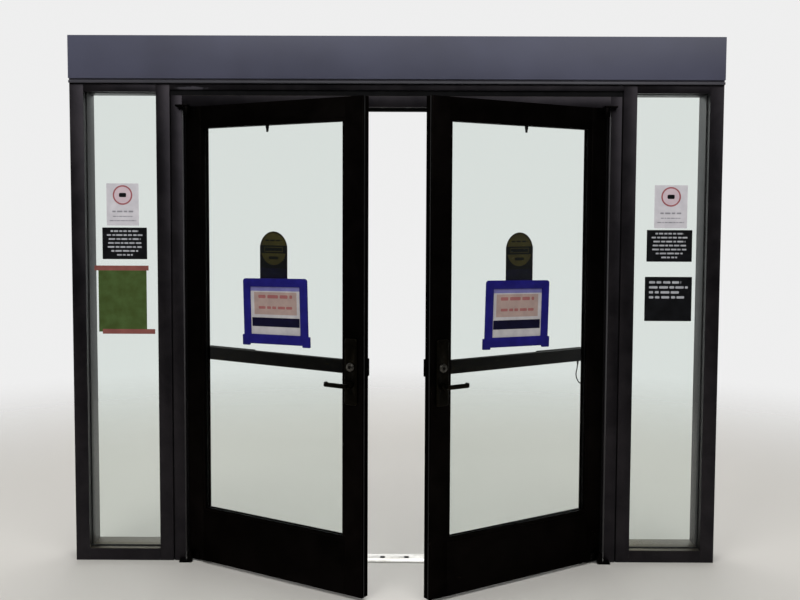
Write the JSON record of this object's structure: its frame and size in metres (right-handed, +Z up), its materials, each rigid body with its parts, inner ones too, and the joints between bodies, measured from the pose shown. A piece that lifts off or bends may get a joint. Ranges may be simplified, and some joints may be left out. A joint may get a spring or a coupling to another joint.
{
  "type": "glass double door",
  "caption": "Out-swinging glazed aluminium double doors, both ajar, with levers, exit bars and signs, in a frame with glass sidelites, header and threshold.",
  "frame": {"origin": "on the floor at the middle of the doorway, in the plane of the frame's front face", "axes": "+X to the right as seen from outside, +Y into the building, +Z up"},
  "size_m": [3.02, 0.7282, 2.459],
  "materials": {
    "frame_aluminium": "dark bronze anodised, satin",
    "leaf_aluminium": "dark bronze anodised, satin",
    "header_paint": "blue-grey paint, satin",
    "header_steel": "dark paint, satin",
    "mill_aluminium": "mill finish, worn",
    "clear_glass": "clear float glass, polished",
    "black_rubber": "black, matt",
    "joint_sealant": "black, matt",
    "bronze_trim": "dark bronze plate, satin",
    "bronze_bar": "dark bronze, brushed",
    "bright_lock": "satin chrome",
    "steel_rod": "zinc plated",
    "nylon": "black nylon",
    "pivot_steel": "dark bronze, satin",
    "strike_plastic": "black, matt",
    "screw_steel": "stainless",
    "blue_plastic": "deep blue, satin",
    "decal_vinyl": "olive yellow vinyl",
    "notice_vinyl": "printed vinyl",
    "cable_jacket": "black, satin"
  },
  "bodies": {
    "frame": {"outer_mullions": "frame_aluminium", "inner_mullions": "frame_aluminium", "cross_rails": "frame_aluminium", "sidelite_sills": "frame_aluminium", "sidelite_glass": "clear_glass", "sidelite_gaskets": "black_rubber", "header_fascia": "header_paint", "header_trim": "header_steel", "header_back": "header_steel", "door_jambs": "frame_aluminium", "door_head": "frame_aluminium", "joint_filler": "joint_sealant", "weatherstrip": "black_rubber", "threshold": "mill_aluminium", "strikes": "strike_plastic", "frame_screws": "screw_steel", "frame_pivots": "pivot_steel", "notices": "notice_vinyl"},
    "left_leaf": {"left_hinge_stile": "leaf_aluminium", "left_lock_stile": "leaf_aluminium", "left_top_rail": "leaf_aluminium", "left_bottom_rail": "leaf_aluminium", "left_glass": "clear_glass", "left_glazing_stops": "leaf_aluminium", "left_seals": "black_rubber", "left_pivot_arms": "pivot_steel", "left_exit_rail": "bronze_bar", "left_exit_covers": "bronze_bar", "left_trim_plate": "bronze_trim", "left_cylinder": "bright_lock", "left_bolt_guides": "nylon", "left_sign_holder": "blue_plastic", "left_decal": "decal_vinyl"},
    "left_push_bar": {"left_push_bar": "bronze_bar"},
    "left_key_plug": {"left_key_plug": "bright_lock"},
    "left_lever": {"left_lever": "bronze_trim"},
    "left_top_bolt": {"left_top_bolt": "steel_rod"},
    "left_bottom_bolt": {"left_bottom_bolt": "steel_rod"},
    "right_leaf": {"right_hinge_stile": "leaf_aluminium", "right_lock_stile": "leaf_aluminium", "right_top_rail": "leaf_aluminium", "right_bottom_rail": "leaf_aluminium", "right_glass": "clear_glass", "right_glazing_stops": "leaf_aluminium", "right_seals": "black_rubber", "right_pivot_arms": "pivot_steel", "right_exit_rail": "bronze_bar", "right_exit_covers": "bronze_bar", "right_trim_plate": "bronze_trim", "right_cylinder": "bright_lock", "right_bolt_guides": "nylon", "right_sign_holder": "blue_plastic", "right_decal": "decal_vinyl", "right_exit_cable": "cable_jacket", "right_cable_glands": "cable_jacket"},
    "right_push_bar": {"right_push_bar": "bronze_bar"},
    "right_key_plug": {"right_key_plug": "bright_lock"},
    "right_lever": {"right_lever": "bronze_trim"},
    "right_top_bolt": {"right_top_bolt": "steel_rod"},
    "right_bottom_bolt": {"right_bottom_bolt": "steel_rod"}
  },
  "joints": [
    {"name": "left_swing", "type": "hinge", "parent": "frame", "child": "left_leaf", "pos_m": [-0.96835, -0.01905, 0.03], "axis": [0, 0, -1], "range_deg": [-31.9, 58.1]},
    {"name": "left_bar_push", "type": "slide", "parent": "left_leaf", "child": "left_push_bar", "axis": [-0.5284, -0.849, 0], "range_m": [0, 0.014], "stiffness_N_per_m": 1500, "springref_m": -0.01},
    {"name": "left_lever_turn", "type": "hinge", "parent": "left_leaf", "child": "left_lever", "pos_m": [-0.19514, -0.50145, 0.926], "axis": [-0.5284, -0.849, 0], "range_deg": [0, 45], "stiffness_Nm_per_rad": 1, "springref_deg": -28.65},
    {"name": "left_key_turn", "type": "hinge", "parent": "left_leaf", "child": "left_key_plug", "pos_m": [-0.18986, -0.49296, 1.002], "axis": [-0.5284, -0.849, 0], "range_deg": [-90, 90]},
    {"name": "left_top_bolt_slide", "type": "slide", "parent": "left_leaf", "child": "left_top_bolt", "axis": [0, 0, 1], "range_m": [0, 0.011]},
    {"name": "left_bottom_bolt_slide", "type": "slide", "parent": "left_leaf", "child": "left_bottom_bolt", "axis": [0, 0, -1], "range_m": [0, 0.011]},
    {"name": "right_swing", "type": "hinge", "parent": "frame", "child": "right_leaf", "pos_m": [0.96835, -0.01905, 0.03], "axis": [0, 0, 1], "range_deg": [-33.1, 56.9]},
    {"name": "right_bar_push", "type": "slide", "parent": "right_leaf", "child": "right_push_bar", "axis": [0.5461, -0.8377, 0], "range_m": [0, 0.014], "stiffness_N_per_m": 1500, "springref_m": -0.01},
    {"name": "right_lever_turn", "type": "hinge", "parent": "right_leaf", "child": "right_lever", "pos_m": [0.20541, -0.51754, 0.926], "axis": [-0.5461, 0.8377, 0], "range_deg": [0, 45], "stiffness_Nm_per_rad": 1, "springref_deg": -28.65},
    {"name": "right_key_turn", "type": "hinge", "parent": "right_leaf", "child": "right_key_plug", "pos_m": [0.19995, -0.50916, 1.002], "axis": [0.5461, -0.8377, 0], "range_deg": [-90, 90]},
    {"name": "right_top_bolt_slide", "type": "slide", "parent": "right_leaf", "child": "right_top_bolt", "axis": [0, 0, 1], "range_m": [0, 0.011]},
    {"name": "right_bottom_bolt_slide", "type": "slide", "parent": "right_leaf", "child": "right_bottom_bolt", "axis": [0, 0, -1], "range_m": [0, 0.011]}
  ],
  "couplings": [
    {"joint": "left_bottom_bolt_slide", "follows": "left_top_bolt_slide", "ratio": 1},
    {"joint": "right_bottom_bolt_slide", "follows": "right_top_bolt_slide", "ratio": 1}
  ]
}
